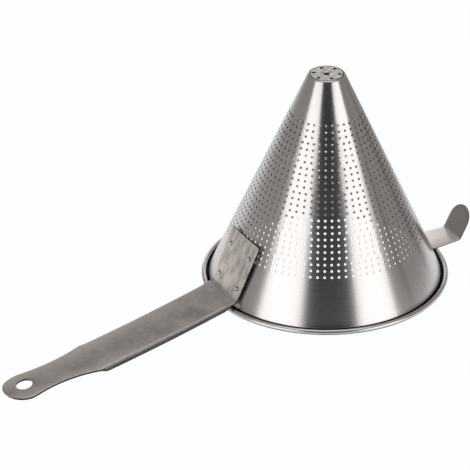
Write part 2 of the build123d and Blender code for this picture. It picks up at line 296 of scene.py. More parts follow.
tone = ranged(cone_steel, brush, 0.3, 0.7, 0.96, 1)
colour = shaded(cone_steel, "#d3d0cf", tone)
roughness = ranged(cone_steel, brush, 0.3, 0.7, 0.27, 0.29)
bump = add_node(cone_steel, "ShaderNodeBump", {"Height": brush, "Strength": 0.003, "Distance": 0.02 * mm})
wave = add_node(cone_steel, "ShaderNodeBump", {"Height": streak, "Strength": 0.08, "Distance": 0.5 * mm,
                                               "Normal": bump.outputs[0]}).outputs[0]
tangent = add_node(cone_steel, "ShaderNodeTangent", direction_type="RADIAL", axis="Z").outputs[0]
steel = add_node(cone_steel, "ShaderNodeBsdfPrincipled",
                 {"Base Color": colour, "Metallic": 1, "Roughness": roughness, "Anisotropic": 0.75,
                  "Anisotropic Rotation": 0.25, "Normal": wave, "Tangent": tangent})
add_node(cone_steel, "ShaderNodeOutputMaterial", {"Surface": steel.outputs[0]})
finish_piece(cone, cone_steel, "cone_steel", "cone_shell")


def dull_steel(name, hex_colour, patch):
    """Rough steel without direction, up to three tenths darker in patches of that size."""
    material = new_material(name)
    place = add_node(material, "ShaderNodeTexCoord").outputs["Object"]
    cloud = noise(material, place, 1 / patch, 4)
    tone = ranged(material, cloud, 0.3, 0.7, 0.7, 1)
    colour = shaded(material, hex_colour, tone)
    steel = add_node(material, "ShaderNodeBsdfPrincipled",
                     {"Base Color": colour, "Metallic": 1, "Roughness": 0.5})
    add_node(material, "ShaderNodeOutputMaterial", {"Surface": steel.outputs[0]})
    return material


def faces_of(piece):
    """Middles and normals of a piece's faces."""
    middles, facing = np.empty((2, len(piece.data.polygons), 3))
    piece.data.polygons.foreach_get("center", middles.ravel())
    piece.data.polygons.foreach_get("normal", facing.ravel())
    return middles, facing


def wear_too(piece, material, chosen):
    """The chosen faces of a piece wear a further material."""
    piece.data.materials.append(material)
    worn = np.empty(len(chosen), np.int32)
    piece.data.polygons.foreach_get("material_index", worn)
    worn[chosen] = len(piece.data.materials) - 1
    piece.data.polygons.foreach_set("material_index", worn)


# Inside, the sheet keeps the grey mill finish it was rolled with. The sides of the holes are
# drawn darker: painted shade inside the holes. The groove behind the bead with the wall's foot
# above it, the bead's underside and the gap at the tip are never polished, and are drawn
# nearly black: painted shade.
WALL_SLACK = 0.05 * mm
WALL_UP = 0.6
ACROSS_WALL = 0.8
FLARE_Z = 1.2 * mm
FLARE_WIDTH = 1 * mm
FLARE_UP = 0.75
LIP_SHADE_WIDTH = 0.3 * mm
BEAD_DOWN = -0.15
mill_steel = dull_steel("Stainless steel, mill finish", "#96928f", 9 * mm)
# The next two steels are painted shade: the holes' sides, and the hollows, edges and gaps.
hole_shade_steel = dull_steel("Stainless steel, hole sides darkened with painted shade", "#3c3836", 3 * mm)
painted_shade_steel = dull_steel("Stainless steel, darkened with painted shade", "#2e2824", 6 * mm)
middles, facing = faces_of(cone)
reach = np.hypot(middles[:, 0], middles[:, 1])
faces_out = (middles[:, :2] * facing[:, :2]).sum(1) / reach / np.cos(HALF_ANGLE)
of_wall = (middles[:, 2] > 2 * WALL_T) & (facing[:, 2] < WALL_UP)
of_wall &= reach < wall_radius(middles[:, 2]) + WALL_SLACK
wear_too(cone, mill_steel, of_wall & (faces_out < -ACROSS_WALL))
# The holes' sides are drawn dark: painted shade inside the holes.
wear_too(cone, hole_shade_steel, of_wall & (abs(faces_out) < ACROSS_WALL))
# The groove, the flange's top, the bead's underside, the foot above the flange and the tip gap: painted shade,
# near black.
from_curl = np.hypot(reach - BEAD_CENTRE_R, middles[:, 2] - BEAD_R)
in_groove = (middles[:, 2] < 2 * BEAD_R) & (from_curl < BEAD_R - WALL_T / 2)
of_flare = (reach > FOOT_R - FLARE_WIDTH) & (reach < BEAD_CENTRE_R)
in_groove |= of_flare & (middles[:, 2] < FLARE_Z) & (facing[:, 2] > FLARE_UP)
in_groove |= (middles[:, 2] > CONE_H - WALL_T) & (reach < LIP_R + LIP_SHADE_WIDTH)
in_groove |= (abs(from_curl - BEAD_R) < WALL_T / 2) & (facing[:, 2] < BEAD_DOWN)
in_groove |= (middles[:, 2] < SHADED_FOOT_Z) & (faces_out > 0) & (reach < FOOT_R)
wear_too(cone, painted_shade_steel, in_groove)

# The tip disc is pressed from the same sheet: a flat face with a shallow dimple, a hole in
# the middle and six round it, and an edge that steps down and seats under the cone's lip.
# A narrow ring round each hole, the middle of the dimple and the faces that do not face up are
# drawn near black: painted shade in and round the holes and at the stepped edge.
DISC_R = 13.1 * mm
SEAT_R = 13.7 * mm
DIMPLE_R = 4.2 * mm
DIMPLE_D = 0.6 * mm
DIMPLE_SLOPE = 1.6 * mm
SEAT_CLEAR = 0.06 * mm
CENTRE_MOUTH_R = 1.9 * mm
DISC_LEVEL = 0.9
RING_HOLES = 6
DISC_ROUNDS = np.array([0.35, 0.05, 0.1, 0.1, 0.1, 0.02]) * mm
DISC_HOLE_R = 1.3 * mm
MOUTH_R = 1.6 * mm
DISC_RING_R = 10.2 * mm
DISC_PHASE = np.radians(22.7)
CELL_TURN = np.radians(15)
CELL_HALF = 2.2 * mm


def disc_face(radius, turn, depth):
    """Point of the disc's face under the tip's plane by depth."""
    return np.stack(np.broadcast_arrays(radius * np.cos(turn), radius * np.sin(turn), CONE_H - depth), -1)


disc_turn = np.arange(HOLE_SIDES) * 2 * np.pi / HOLE_SIDES
disc_circle = np.stack([np.cos(disc_turn), np.sin(disc_turn)], -1)
disc_square = disc_circle / abs(disc_circle).max(1)[:, None]
hole_turns = DISC_PHASE + np.arange(RING_HOLES)[:, None] * 2 * np.pi / RING_HOLES
hole_x = DISC_RING_R + DISC_HOLE_R * disc_circle[:, 0]
hole_y = DISC_HOLE_R * disc_circle[:, 1]
cell_radius = DISC_RING_R + CELL_HALF * disc_square[:, 0]
cell_turn = hole_turns + CELL_TURN * disc_square[:, 1]
hole_radius = np.hypot(hole_x, hole_y)
hole_turn = hole_turns + np.arctan2(hole_y, hole_x)
mouth_x = DISC_RING_R + MOUTH_R * disc_circle[:, 0]
mouth_y = MOUTH_R * disc_circle[:, 1]
mouth = disc_face(np.hypot(mouth_x, mouth_y), hole_turns + np.arctan2(mouth_y, mouth_x), 0)
cells = np.stack([disc_face(cell_radius, cell_turn, 0), mouth, disc_face(hole_radius, hole_turn, 0),
                  disc_face(hole_radius, hole_turn, WALL_T), disc_face(cell_radius, cell_turn, WALL_T)], 1)
starts = np.arange(RING_HOLES) * 5 * HOLE_SIDES
disc = [(cells, (starts[:, None, None] + grid_faces(5, HOLE_SIDES, closed=True)).reshape(-1, 4))]
edge_steps = np.array([-1, -OCTANT, 0, OCTANT]) * CELL_TURN
half_gap = np.pi / RING_HOLES
plain_steps = half_gap + np.array([-1, -0.5, 0, 0.5]) * (half_gap - CELL_TURN)
disc_turns = (hole_turns + np.hstack([edge_steps, plain_steps])).ravel()
between = np.hstack([disc_turns.reshape(RING_HOLES, 8)[:, 4:], hole_turns + 2 * half_gap - CELL_TURN])
between_radius = DISC_RING_R + CELL_HALF * np.array([-1, -OCTANT, 0, OCTANT, 1])
for depth in (0, WALL_T):
    sectors = disc_face(between_radius[:, None], between[:, None], depth)
    starts = np.arange(RING_HOLES) * 25
    disc.append((sectors, (starts[:, None, None] + grid_faces(5, 5)).reshape(-1, 4)))
in_r, out_r = DISC_RING_R - CELL_HALF, DISC_RING_R + CELL_HALF
dimple_z = CONE_H - DIMPLE_D
dimple = [(in_r, CONE_H), (DIMPLE_R, CONE_H), (DIMPLE_R - DIMPLE_SLOPE, dimple_z), (DISC_HOLE_R, dimple_z)]
dimple = rounded(dimple, 1 * mm, 5)
disc.append(turned(folded_sheet(dimple, -WALL_T), disc_turns))
seat_z = CONE_H - WALL_T - SEAT_CLEAR
rim = rounded([(out_r, CONE_H), (DISC_R, CONE_H), (DISC_R, seat_z),
               (SEAT_R, seat_z), (SEAT_R, CONE_H - 2 * WALL_T),
               (DISC_R - WALL_T, CONE_H - 2 * WALL_T), (DISC_R - WALL_T, CONE_H - WALL_T),
               (out_r, CONE_H - WALL_T)], DISC_ROUNDS, 4)
disc.append(turned(rim, disc_turns))
tip = sheet_metal("tip_disc_face", disc)

# Stainless steel, left as pressed and tumbled: a satin face without direction, blotched
# by handling over a few millimetres.
disc_steel = new_material("Stainless steel, pressed and tumbled")
place = add_node(disc_steel, "ShaderNodeTexCoord").outputs["Object"]
blotch = noise(disc_steel, place, 1 / (4 * mm), 4)
tone = ranged(disc_steel, blotch, 0.35, 0.65, 0.64, 1.15)
colour = shaded(disc_steel, "#d8d4cf", tone)
steel = add_node(disc_steel, "ShaderNodeBsdfPrincipled", {
    "Base Color": colour, "Metallic": 1, "Roughness": 0.36,
    "Normal": add_node(disc_steel, "ShaderNodeBump", {"Height": blotch, "Strength": 0.3,
                                                      "Distance": 0.1 * mm}).outputs[0]})
add_node(disc_steel, "ShaderNodeOutputMaterial", {"Surface": steel.outputs[0]})
finish_piece(tip, disc_steel, "disc_steel", "tip_disc")
middles, facing = faces_of(tip)
mouth_at = np.stack([np.cos(hole_turns[:, 0]), np.sin(hole_turns[:, 0])], -1) * DISC_RING_R
from_mouth = np.linalg.norm(middles[:, None, :2] - mouth_at, axis=2).min(1)
from_axis = np.hypot(middles[:, 0], middles[:, 1])
# Painted shade: rings round the holes, the dimple's middle and faces that do not face up.
disc_painted_shade = (facing[:, 2] < DISC_LEVEL) | (from_mouth < MOUTH_R) | (from_axis < CENTRE_MOUTH_R)
wear_too(tip, painted_shade_steel, disc_painted_shade)

# The handle is one strip of 1.5 mm sheet: a plate that lies on the cone, a bend, and a
# crowned arm whose sides are turned down into flanges, drawn in at the neck and rounded
# round the hanging hole. It is riveted to the cone through the plate.
HANDLE_T = 1.5 * mm
ARM_HALF = 21.2 * mm
PLATE_TOP_HALF = 22.4 * mm
PLATE_CORNER = 2 * mm
BEND_R = 4.5 * mm
FLANGE_GROWS = np.array([94.5, 104, 207, 213]) * mm
FLANGE_D = 3.6 * mm
FLANGE_ROUND = 2.2 * mm
EDGE_ROUND = 0.35 * mm
LIP_ROUND = 0.25 * mm
NECK_HALF = 15 * mm
NECK_R = 100 * mm
HANG_X = 269 * mm
HANG_R = 6.5 * mm
END_R = 17.4 * mm
ARM_R = 1780 * mm
ARM_SLOPE = np.radians(14.3)
CROWN_X = np.array([103.5, 154.25, 205, 251.6, 291.4]) * mm
CROWN_RISE = np.array([0.8, 1.6, 2.4, 2.4, 3.4]) * mm
PLATE_OFF = 1.6 * mm
PLATE_FOOT_Z = 9.5 * mm
PLATE_TOP_Z = 53 * mm
BORE_CHAMFER = 0.1 * mm


def wall_line(z, off):
    """Point of the strip's side view at height z, off outside the wall."""
    return np.array([FOOT_R - SLOPE * z + off / np.cos(HALF_ANGLE), z])


def strip_path(line):
    """Side view as (length, x, z, normal) columns: the normal is the direction of the line
    there, turned a quarter to the left."""
    steps = np.linalg.norm(np.diff(line, axis=0), axis=1)
    line = line[np.append(True, steps > SLIVER)]
    runs = np.diff(line, axis=0)
    lengths = np.linalg.norm(runs, axis=1)
    runs /= lengths[:, None]
    ways = np.vstack([runs[:1], runs[:-1] + runs[1:], runs[-1:]])
    ways /= np.linalg.norm(ways, axis=1)[:, None]
    return np.column_stack([np.append(0, np.cumsum(lengths)), line, -ways[:, 1], ways[:, 0]])


def on_strip(path, length, y, depth, rise, half):
    """Point of a crowned strip: out along the path, across by y, and down from the crown by
    depth. The crown is an arc that stands rise over its edges at half to each side."""
    x, z, out_x, out_z = (np.interp(length, path[:, 0], path[:, column]) for column in (1, 2, 3, 4))
    radius = (half**2 + rise**2) / (2 * rise)
    drop = radius - np.sqrt(radius**2 - y**2) + depth
    return np.stack(np.broadcast_arrays(x - drop * out_x, y, z - drop * out_z), -1)


def plain_edge(thick, last):
    """(inset, depth) points of a sheet's edge: two small rounds, then in to last below."""
    turn = np.radians([0, 30, 60, 90])
    top = np.stack([EDGE_ROUND * (1 - np.sin(turn)), EDGE_ROUND * (1 - np.cos(turn))], -1)
    low = np.stack([EDGE_ROUND * (1 - np.cos(turn)), thick - EDGE_ROUND * (1 - np.sin(turn))], -1)
    under = np.stack([np.linspace(EDGE_ROUND, last, 7)[1:], np.full(6, thick)], -1)
    return np.vstack([top, low, under])


def flange_edge():
    """(inset, depth) points of a turned-down side: round, down, over the lip, up inside."""
    turn = np.radians([0, 18, 36, 54, 72, 90])
    outer = np.stack([FLANGE_ROUND * (1 - np.sin(turn)), FLANGE_ROUND * (1 - np.cos(turn))], -1)
    lip = np.array([[0, FLANGE_D - LIP_ROUND], [LIP_ROUND, FLANGE_D],
                    [HANDLE_T - LIP_ROUND, FLANGE_D], [HANDLE_T, FLANGE_D - LIP_ROUND]])
    turn = np.radians([0, 30, 60, 90])
    inside = FLANGE_ROUND - HANDLE_T
    inner = np.stack([HANDLE_T + inside * (1 - np.cos(turn)), FLANGE_ROUND - inside * np.sin(turn)], -1)
    return np.vstack([outer, lip, inner])


def swept_strip(path, lengths, halves, edges, rises, crown_half, thick, across):
    """Closed sections carried along the path: across the top, round one edge, back below,
    and round the other. halves, edges and rises give each section's own."""
    sections = []
    for length, half, edge, rise in zip(lengths, halves, edges, rises):
        top = np.linspace(-1, 1, across) * (half - edge[0, 0])
        low = np.linspace(1, -1, across) * (half - edge[-1, 0])
        y = np.concatenate([top, (half - edge[:, 0]), low, (edge[:, 0] - half)[::-1]])
        depth = np.concatenate([0 * top, edge[:, 1], 0 * low + thick, edge[::-1, 1]])
        sections.append(on_strip(path, length + 0 * y, y, depth, rise, crown_half))
    points = np.array(sections)
    return points, grid_faces(*points.shape[:2], closed=True)


def round_end(place, outline, normals, start_u, centre_u, hole_r, edge, thick, across, rings=7):
    """End of a strip beyond start_u: top and underside run in rings from the outline to the
    hole, or to a point, and the edge is carried along the outline. place(u, y, depth) is the
    strip's surface; an outline point moves in along its normal by the edge's inset."""
    line_y = np.linspace(-1, 1, across)[1:-1]
    bounds = []
    for inset in (edge[0, 0], edge[-1, 0]):
        side = outline - normals * inset
        back = np.stack([np.full(across - 2, start_u), line_y * side[0, 1]], -1)
        bounds.append(np.vstack([side, back]))
    turn = np.arctan2(bounds[0][:, 1], bounds[0][:, 0] - centre_u)
    ring_r = hole_r + EDGE_ROUND * (hole_r > 0)
    hole = np.stack([centre_u + ring_r * np.cos(turn), ring_r * np.sin(turn)], -1)
    share = np.linspace(0, 1, rings)[:, None, None]
    patches = []
    for bound, depth in zip(bounds, (0, thick)):
        flat = hole * (1 - share) + bound * share
        patches.append((place(flat[..., 0], flat[..., 1], depth), grid_faces(rings, len(bound), closed=True)))
    if hole_r:
        walls = np.array([(EDGE_ROUND, 0), (BORE_CHAMFER, BORE_CHAMFER), (0, EDGE_ROUND), (0, thick - EDGE_ROUND),
                          (BORE_CHAMFER, thick - BORE_CHAMFER), (EDGE_ROUND, thick)])
        reach = hole_r + walls[:, 0, None]
        bore = place(centre_u + reach * np.cos(turn), reach * np.sin(turn), walls[:, 1, None])
        patches.append((bore, grid_faces(len(walls), len(turn), closed=True)))
    around = outline[None] - normals[None] * edge[:, 0, None, None]
    rim_points = place(around[..., 0], around[..., 1], edge[:, 1, None])
    patches.append((rim_points, grid_faces(len(edge), len(outline))))
    return patches


fold = wall_line(PLATE_FOOT_Z, PLATE_OFF)
plate_top = wall_line(PLATE_TOP_Z, PLATE_OFF)
arm_way = np.array([np.cos(ARM_SLOPE), -np.sin(ARM_SLOPE)])
bend_line = rounded([plate_top, fold, fold + arm_way * 6 * mm], BEND_R, 12)[:-1]
arm_start = bend_line[-1]
arm_x = np.linspace(arm_start[0], HANG_X + END_R + 1 * mm, 90)[1:]
here = np.arcsin(np.sin(ARM_SLOPE) - (arm_x - arm_start[0]) / ARM_R)
arm_z = arm_start[1] - ARM_R * (np.cos(here) - np.cos(ARM_SLOPE))
handle_path = strip_path(np.vstack([bend_line, np.stack([arm_x, arm_z], -1)]))
plate_length = np.linalg.norm(bend_line[1] - plate_top)


def length_at(x):
    """Length along the handle at which its side view is at x."""
    return np.interp(x, handle_path[:, 1], handle_path[:, 0])


neck_x = HANG_X - np.sqrt((NECK_R + END_R) ** 2 - (NECK_HALF + NECK_R) ** 2)
neck_start = neck_x - np.sqrt(NECK_R**2 - (NECK_R + NECK_HALF - ARM_HALF) ** 2)
corner_turn = np.linspace(0, np.pi / 2, 6)
plate_lengths = np.concatenate([PLATE_CORNER * (1 - np.cos(corner_turn)),
                                np.linspace(PLATE_CORNER, plate_length, 8)[1:]])
corner_in = np.concatenate([PLATE_CORNER * (1 - np.sin(corner_turn)), np.zeros(7)])
plate_halves = PLATE_TOP_HALF + (ARM_HALF - PLATE_TOP_HALF) * plate_lengths / plate_length - corner_in
in_bend = (handle_path[:, 0] > plate_length + WELD) & (handle_path[:, 1] <= arm_start[0] + WELD)
bend_lengths = handle_path[in_bend, 0]
arm_lengths = length_at(np.concatenate([np.linspace(arm_start[0], FLANGE_GROWS[1], 8)[1:],
                                        np.linspace(*FLANGE_GROWS[1:3], 14)[1:],
                                        np.linspace(FLANGE_GROWS[2], neck_x, 26)[1:]]))
lengths = np.concatenate([plate_lengths, bend_lengths, arm_lengths])
station_x = np.interp(lengths, handle_path[:, 0], handle_path[:, 1])
halves = np.concatenate([plate_halves, np.full(len(lengths) - len(plate_halves), ARM_HALF)])
in_neck = station_x > neck_start
halves[in_neck] = NECK_HALF + NECK_R - np.sqrt(NECK_R**2 - (station_x[in_neck] - neck_x) ** 2)
rises = np.interp(station_x, CROWN_X, CROWN_RISE)
plain = plain_edge(HANDLE_T, FLANGE_ROUND)
flanged = flange_edge()
share = np.interp(station_x, FLANGE_GROWS, [0, 1, 1, 0]) * (lengths > plate_length + 2 * mm)
share = (share**2 * (3 - 2 * share))[:, None, None]
edges = plain + (flanged - plain) * share
ACROSS = 21
body = swept_strip(handle_path, lengths, halves, edges, rises, ARM_HALF, HANDLE_T, ACROSS)
loop = body[0].shape[1]
handle = [body, (body[0][0], [list(range(loop))])]


def arm_place(x, y, depth):
    """Point of the arm's surface in plan."""
    return on_strip(handle_path, length_at(x), y, depth, np.interp(x, CROWN_X, CROWN_RISE), ARM_HALF)


end_share = END_R / (NECK_R + END_R)
neck_end_x = HANG_X - (HANG_X - neck_x) * end_share
neck_arc_x = np.linspace(neck_x, neck_end_x, 8)
neck_arc_y = NECK_HALF + NECK_R - np.sqrt(NECK_R**2 - (neck_arc_x - neck_x) ** 2)
neck_normal = np.stack([-(neck_arc_x - neck_x), NECK_HALF + NECK_R - neck_arc_y], -1) / NECK_R
end_from = np.arctan2(neck_arc_y[-1], neck_end_x - HANG_X)
end_turn = np.linspace(end_from, -end_from, 45)
end_normal = np.stack([np.cos(end_turn), np.sin(end_turn)], -1)
end_arc = [HANG_X, 0] + END_R * end_normal
side_arc = np.stack([neck_arc_x, neck_arc_y], -1)
outline = np.vstack([side_arc[:-1], end_arc, side_arc[-2::-1] * [1, -1]])
normals = np.vstack([neck_normal[:-1], end_normal, neck_normal[-2::-1] * [1, -1]])
handle += round_end(arm_place, outline, normals, neck_x, HANG_X, HANG_R, plain, HANDLE_T, ACROSS)
handle = [(np.asarray(points) * [-1, -1, 1], faces) for points, faces in handle]
arm = sheet_metal("handle_strip", handle)

# Stainless steel, satin ground: the belt ran along the arm, so fine scratches lie along X,
# over blotches of a centimetre or two left by the rollers and the hand. The plate is drawn
# lighter than the arm, with rub marks of some millimetres.
handle_steel = new_material("Stainless steel, satin ground along the handle")
place = add_node(handle_steel, "ShaderNodeTexCoord").outputs["Object"]
scratch_place = add_node(handle_steel, "ShaderNodeMapping",
                         {"Vector": place, "Scale": (1 / (18 * mm), 1 / (0.9 * mm), 1 / (0.9 * mm))}).outputs[0]
scratch = noise(handle_steel, scratch_place, 1, 3)
blotch = add_node(handle_steel, "ShaderNodeTexNoise", {"Vector": place, "Scale": 1 / (16 * mm), "Detail": 5,
                                                       "Roughness": 0.6}).outputs["Fac"]
both = add_node(handle_steel, "ShaderNodeMath", {0: scratch, 1: blotch}, operation="ADD").outputs[0]
tone = ranged(handle_steel, both, 0.75, 1.25, 0.54, 0.76)
smear_place = add_node(handle_steel, "ShaderNodeMapping",
                       {"Vector": place, "Scale": (1 / (12 * mm), 1 / (5 * mm), 1 / (14 * mm))}).outputs[0]
smear = add_node(handle_steel, "ShaderNodeTexNoise", {"Vector": smear_place, "Scale": 1, "Detail": 4,
                                                      "Roughness": 0.6}).outputs["Fac"]
smear = ranged(handle_steel, smear, 0.33, 0.6, 0.72, 1.32)
along = add_node(handle_steel, "ShaderNodeSeparateXYZ", {0: place}).outputs["X"]
on_plate = ranged(handle_steel, along, -95 * mm, -91 * mm, 0, 1)
tone = add_node(handle_steel, "ShaderNodeMix", {"Factor": on_plate, "A": tone, "B": smear}).outputs["Result"]
colour = shaded(handle_steel, "#dad3ce", tone)
roughness = ranged(handle_steel, blotch, 0.35, 0.65, 0.34, 0.46)
normal = add_node(handle_steel, "ShaderNodeBump",
                  {"Height": both, "Strength": 0.3, "Distance": 0.05 * mm}).outputs[0]
steel = add_node(handle_steel, "ShaderNodeBsdfPrincipled", {
    "Base Color": colour, "Metallic": 1, "Roughness": roughness, "Normal": normal})
add_node(handle_steel, "ShaderNodeOutputMaterial", {"Surface": steel.outputs[0]})
finish_piece(arm, handle_steel, "handle_steel", "handle")
FLANGE_SIDE = 0.6
FLANGE_DOWN = -0.5
LIP_DOWN = -0.3
LIP_SLACK = 0.1 * mm
EDGE_SIDE = 0.8
middles, facing = faces_of(arm)
sheet_ups = np.array([[-np.cos(HALF_ANGLE), 0, np.sin(HALF_ANGLE)],
                      [-np.sin(ARM_SLOPE), 0, np.cos(ARM_SLOPE)]])
square_to = abs(facing @ sheet_ups.T).max(1)
in_flange = (middles[:, 0] < -FLANGE_GROWS[0]) & (middles[:, 0] > -FLANGE_GROWS[3])
# The turned-down sides are drawn dark, so that they do not mirror the white floor: painted shade.
flange_shade_steel = dull_steel("Stainless steel, flange sides darkened with painted shade", "#5f5855", 12 * mm)
wear_too(arm, flange_shade_steel, in_flange & (square_to < FLANGE_SIDE) & (facing[:, 2] > FLANGE_DOWN))
# The lips' undersides and the strip's cut edges are drawn near black: painted shade along the edges and in the gap
# to the cone.
lip = in_flange & (facing[:, 2] < LIP_DOWN) & (abs(middles[:, 1]) > ARM_HALF - HANDLE_T - LIP_SLACK)
wear_too(arm, painted_shade_steel, lip | (~in_flange & (square_to < EDGE_SIDE)))

# The pan hook is a strip of 1 mm sheet, riveted to the wall: a plate, a level strap over
# the bead, and a tab that leans out and ends round, to catch a pan's edge.
HOOK_T = 1 * mm
HOOK_HALF = 15 * mm
TAB_HALF = 12.8 * mm
TAB_X = 120.5 * mm
TAB_LENGTH = 25.5 * mm
TAB_LEAN = np.radians(27.8)
STRAP_Z = 5.1 * mm
HOOK_PLATE = 26 * mm
HOOK_TOP_HALF = 11.5 * mm
PLATE_CURVE = 1.17 * mm
NO_CROWN = 1e-6
STRAP_START_X = 93 * mm
HOOK_SIDE = 0.5
hook_low = wall_line(STRAP_Z, 1.1 * mm)
hook_top = hook_low - HOOK_PLATE * np.array([np.sin(HALF_ANGLE), -np.cos(HALF_ANGLE)])
tab_low = np.array([TAB_X, STRAP_Z])
tab_tip = tab_low + TAB_LENGTH * np.array([np.sin(TAB_LEAN), np.cos(TAB_LEAN)])
hook_path = strip_path(rounded([hook_top, hook_low, tab_low, tab_tip], 2 * mm, 9))
hook_length = hook_path[-1, 0]
tab_start = hook_length - TAB_HALF
hook_lengths = np.concatenate([[0, 1 * mm, 8 * mm, 16 * mm], hook_path[1:-1, 0], [tab_start]])
hook_x = np.interp(hook_lengths, hook_path[:, 0], hook_path[:, 1])
hook_halves = np.interp(hook_x, [hook_top[0], hook_low[0] - 2 * mm, 100 * mm, TAB_X],
                        [HOOK_TOP_HALF, HOOK_HALF, HOOK_HALF, TAB_HALF])
hook_rises = np.interp(hook_x, [hook_low[0] - 1 * mm, hook_low[0] + 3 * mm], [PLATE_CURVE, NO_CROWN])
hook_edge = plain_edge(HOOK_T, 1.5 * mm)
body = swept_strip(hook_path, hook_lengths, hook_halves, [hook_edge] * len(hook_lengths),
                   hook_rises, HOOK_HALF, HOOK_T, 11)
hook = [body, (body[0][0], [list(range(body[0].shape[1]))])]


def tab_place(length, y, depth):
    """Point of the tab's surface."""
    return on_strip(hook_path, length, y, depth, NO_CROWN, HOOK_HALF)


tab_turn = np.linspace(np.pi / 2, -np.pi / 2, 41)
tab_normal = np.stack([np.cos(tab_turn), np.sin(tab_turn)], -1)
hook += round_end(tab_place, [tab_start, 0] + TAB_HALF * tab_normal, tab_normal, tab_start, tab_start + 3 * mm,
                  0, hook_edge, HOOK_T, 11, 4)
hook = sheet_metal("pan_hook_strip", hook)

# Stainless steel, satin ground across the strip, with light wear. The tab, which catches
# the pans, is drawn darker than the strap.
hook_steel = new_material("Stainless steel, satin ground across the hook")
place = add_node(hook_steel, "ShaderNodeTexCoord").outputs["Object"]
scratch_place = add_node(hook_steel, "ShaderNodeMapping",
                         {"Vector": place, "Scale": (1 / (0.8 * mm), 1 / (15 * mm), 1 / (0.8 * mm))}).outputs[0]
scratch = noise(hook_steel, scratch_place, 1, 3)
tone = ranged(hook_steel, scratch, 0.3, 0.7, 0.86, 1)
along = add_node(hook_steel, "ShaderNodeSeparateXYZ", {0: place}).outputs["X"]
tab_darkening = ranged(hook_steel, along, TAB_X - 1 * mm, TAB_X + 1 * mm, 1, 0.55)
tone = add_node(hook_steel, "ShaderNodeMath", {0: tone, 1: tab_darkening}, operation="MULTIPLY").outputs[0]
colour = shaded(hook_steel, "#f5f0ea", tone)
steel = add_node(hook_steel, "ShaderNodeBsdfPrincipled", {
    "Base Color": colour, "Metallic": 1, "Roughness": 0.33,
    "Normal": add_node(hook_steel, "ShaderNodeBump", {"Height": scratch, "Strength": 0.25,
                                                      "Distance": 0.03 * mm}).outputs[0]})
add_node(hook_steel, "ShaderNodeOutputMaterial", {"Surface": steel.outputs[0]})
finish_piece(hook, hook_steel, "hook_steel", "pan_hook")
middles, facing = faces_of(hook)
on_hook_plate = (middles[:, 0] < STRAP_START_X)[:, None]
on_strap = (middles[:, 0] < TAB_X - 1 * mm)[:, None]
tab_up = [-np.cos(TAB_LEAN), 0, np.sin(TAB_LEAN)]
sheet_up = np.where(on_hook_plate, [np.cos(HALF_ANGLE), 0, np.sin(HALF_ANGLE)],
                    np.where(on_strap, [0, 0, 1], tab_up))
# The strip's cut edges are drawn near black: painted shade along the edges.
wear_too(hook, painted_shade_steel, abs((facing * sheet_up).sum(1)) < HOOK_SIDE)

# Six solid stainless rivets: a small domed head outside, a shank through sheet and wall,
# and a flat head closed over inside the cone.
HEAD_R = 2 * mm
HEAD_H = 1 * mm
SHANK_R = 1.2 * mm
CLINCH_R = 2 * mm
CLINCH_H = 0.8 * mm
SEAT_GAP = 0.1 * mm
RIVET_SIDE = 14.9 * mm
HOOK_RIVET_SIDE = 8 * mm
RIVET_SHARES = (0.266, 0.8185)
HOOK_RIVET_SHARE = 0.45
HEAD_SINK = 0.02 * mm
CLINCH_SIDE = 0.7
CLINCH_FLAT = 0.85
RIVET_TURNS = 24
HEAD_LEVEL = 0.7

rivet_steel = new_material("Stainless steel, headed rivet")
place = add_node(rivet_steel, "ShaderNodeTexCoord").outputs["Object"]
dent = noise(rivet_steel, place, 1 / (1.2 * mm), 2)
tone = ranged(rivet_steel, dent, 0, 1, 0.85, 1)
colour = shaded(rivet_steel, "#d9d5d0", tone)
steel = add_node(rivet_steel, "ShaderNodeBsdfPrincipled", {
    "Base Color": colour, "Metallic": 1, "Roughness": 0.26,
    "Normal": add_node(rivet_steel, "ShaderNodeBump", {"Height": dent, "Strength": 0.2,
                                                       "Distance": 0.1 * mm}).outputs[0]})
add_node(rivet_steel, "ShaderNodeOutputMaterial", {"Surface": steel.outputs[0]})


def rivet(name, foot, out, node, sheet_t, head_h):
    """A profile turned about the rivet's own axis: out from the dome's top, in under the
    head, down the shank, and over the flat head that fits the wall's inside."""
    across = np.array([0, 1, 0])
    over = np.cross(out, across)
    wall_r = wall_radius(foot[2], WALL_T) / np.cos(HALF_ANGLE)
    edge = abs(foot[1]) + CLINCH_R
    drop = wall_r - np.sqrt(wall_r**2 - foot[1] ** 2)
    bow = wall_r - np.sqrt(wall_r**2 - edge**2) - drop
    inside = sheet_t + SEAT_GAP + WALL_T + drop
    dome = np.linspace(0, np.pi / 2, 7)
    profile = np.vstack([
        np.stack([HEAD_R * np.sin(dome), head_h * np.cos(dome)], -1),
        [(HEAD_R, -HEAD_SINK), (SHANK_R, -HEAD_SINK), (SHANK_R, -inside - bow), (CLINCH_R, -inside),
         (CLINCH_R, -inside - CLINCH_H * CLINCH_SIDE), (CLINCH_R * CLINCH_FLAT, -inside - CLINCH_H),
         (0, -inside - CLINCH_H)]])
    turns = np.arange(RIVET_TURNS) * 2 * np.pi / RIVET_TURNS
    reach, height = profile[:, 0, None, None], profile[:, 1, None, None]
    ring = np.cos(turns)[:, None] * across + np.sin(turns)[:, None] * over
    points = foot + reach * ring + height * out
    piece = sheet_metal(name, [(points, grid_faces(len(profile), RIVET_TURNS, closed=True))], 50)
    finish_piece(piece, rivet_steel, "rivet_steel", node)
    middles, facing = faces_of(piece)
    # The dome's skirt is drawn near black: a painted shadow ring round each head.
    wear_too(piece, painted_shade_steel, (facing @ out < HEAD_LEVEL) & ((middles - foot) @ out > 0))


